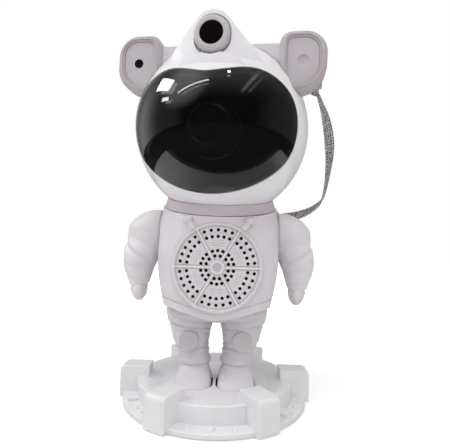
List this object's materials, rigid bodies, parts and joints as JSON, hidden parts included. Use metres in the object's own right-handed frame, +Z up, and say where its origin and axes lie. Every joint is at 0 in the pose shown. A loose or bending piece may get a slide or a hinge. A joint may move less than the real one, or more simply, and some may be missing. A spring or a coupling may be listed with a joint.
{
  "type": "star projector",
  "caption": "Astronaut-shaped star and nebula projector with a speaker in its chest, a tilting lamp on its helmet and a round dock that it lifts off.",
  "frame": {"origin": "centre of the underside of the round dock, where its anti-slip mat meets the table", "axes": "+Z up; the figure faces -Y; +X is on the side that a viewer in front of it sees on the right"},
  "size_m": [0.1368, 0.1226, 0.2222],
  "materials": {
    "acetal": "satin",
    "black_plastic": "matte",
    "brass": "satin",
    "circuit": "satin",
    "clear_lens": "clear",
    "collar": "satin",
    "cone_paper": "matte",
    "dock_plate": "satin",
    "dock_shell": "satin",
    "ear": "satin",
    "ear_pad": "matte",
    "foot_pad": "matte",
    "grille": "satin",
    "headband": "satin",
    "heat_sink": "satin",
    "helmet": "satin",
    "ir_window": "gloss",
    "keycap": "satin",
    "knee": "satin",
    "lamp_lens": "clear",
    "lamp_ring": "satin",
    "led": "gloss",
    "liner": "waxy",
    "magnet": "polished",
    "motor_can": "satin",
    "optic_black": "matte",
    "ripple_glass": "rippled",
    "steel": "brushed",
    "suit": "satin",
    "suit_cloth": "satin",
    "switch": "matte",
    "visor": "mirror gloss",
    "webbing": "woven"
  },
  "bodies": {
    "dock": {"dock_deck": "dock_shell", "dock_cover": "dock_plate", "dock_mat": "foot_pad", "dock_screws": "steel", "ballast_plate": "steel", "dock_magnets": "magnet"},
    "figure": {"left_boot": "suit", "right_boot": "suit", "boot_plates": "steel", "trousers": "suit_cloth", "knee_pads": "knee", "jacket_front": "suit", "jacket_rear": "suit", "speaker_grille": "grille", "speaker_frame": "black_plastic", "speaker_cone": "cone_paper", "speaker_magnet": "steel", "main_board": "circuit", "backpack_shell": "suit", "key_board": "circuit", "key_switches": "switch", "usb_socket": "steel", "arm_pivots": "acetal", "neck_seat": "black_plastic", "strap": "webbing", "strap_clip": "suit"},
    "power_button": {"power_button": "keycap"},
    "star_button": {"star_button": "keycap"},
    "nebula_button": {"nebula_button": "keycap"},
    "left_arm": {"left_arm": "suit"},
    "right_arm": {"right_arm": "suit"},
    "collar": {"neck_ring": "collar", "neck_magnet": "magnet"},
    "neck_liner": {"friction_ring": "liner"},
    "head": {"helmet_front": "helmet", "helmet_rear": "helmet", "visor": "visor", "steel_dish": "steel", "left_ear_cup": "ear", "right_ear_cup": "ear", "left_ear_pad": "ear_pad", "right_ear_pad": "ear_pad", "ir_window": "ir_window", "headband": "headband", "star_pivots": "steel", "optic_bracket": "optic_black", "lens_tube": "optic_black", "nebula_lens": "clear_lens", "wheel_motor": "motor_can", "led_board": "circuit", "led_emitters": "led", "heat_sink": "heat_sink", "strap_loop": "ear"},
    "star_lamp": {"star_barrel": "lamp_ring", "star_lens": "lamp_lens", "laser_module": "brass"},
    "ripple_wheel": {"ripple_disc": "ripple_glass"},
    "drive_pinion": {"motor_pinion": "acetal"}
  },
  "joints": [
    {"name": "figure_lift", "type": "slide", "parent": "dock", "child": "figure", "axis": [0, 0, 1], "range_m": [0, 0.03]},
    {"name": "left_arm_swing", "type": "hinge", "parent": "figure", "child": "left_arm", "pos_m": [-0.0417, 0, 0.105], "axis": [1, 0, 0], "range_deg": [-90, 30]},
    {"name": "right_arm_swing", "type": "hinge", "parent": "figure", "child": "right_arm", "pos_m": [0.0417, 0, 0.105], "axis": [1, 0, 0], "range_deg": [-90, 30]},
    {"name": "head_turn", "type": "hinge", "parent": "figure", "child": "collar", "pos_m": [0, 0.00165, 0.12185], "axis": [0, -0.2504, 0.9681], "range_deg": [-45, 45], "deforming": ["strap"]},
    {"name": "head_nod", "type": "hinge", "parent": "collar", "child": "neck_liner", "pos_m": [0, -0.01039, 0.1684], "axis": [0.9892, -0.145, -0.0209], "range_deg": [-15, 6], "deforming": ["strap"]},
    {"name": "head_lean", "type": "hinge", "parent": "neck_liner", "child": "head", "pos_m": [0, -0.01039, 0.1684], "axis": [0.1459, 0.9881, 0.0489], "range_deg": [-8, 8], "deforming": ["strap"]},
    {"name": "star_lamp_tilt", "type": "hinge", "parent": "head", "child": "star_lamp", "pos_m": [-0.00536, -0.05242, 0.20652], "axis": [0.9892, -0.145, -0.0209], "range_deg": [-10, 10]},
    {"name": "ripple_wheel_spin", "type": "hinge", "parent": "head", "child": "ripple_wheel", "pos_m": [-0.00372, -0.03298, 0.14926], "axis": [0.1459, 0.9881, 0.0489], "continuous": true},
    {"name": "drive_pinion_spin", "type": "hinge", "parent": "head", "child": "drive_pinion", "pos_m": [0.02133, -0.03665, 0.14874], "axis": [0.1459, 0.9881, 0.0489], "continuous": true},
    {"name": "power_button_press", "type": "slide", "parent": "figure", "child": "power_button", "axis": [0, -1, 0], "range_m": [0, 0.0006], "stiffness_N_per_m": 800},
    {"name": "star_button_press", "type": "slide", "parent": "figure", "child": "star_button", "axis": [0, -1, 0], "range_m": [0, 0.0006], "stiffness_N_per_m": 800},
    {"name": "nebula_button_press", "type": "slide", "parent": "figure", "child": "nebula_button", "axis": [0, -1, 0], "range_m": [0, 0.0006], "stiffness_N_per_m": 800}
  ],
  "couplings": [
    {"joint": "drive_pinion_spin", "follows": "ripple_wheel_spin", "ratio": -5}
  ]
}
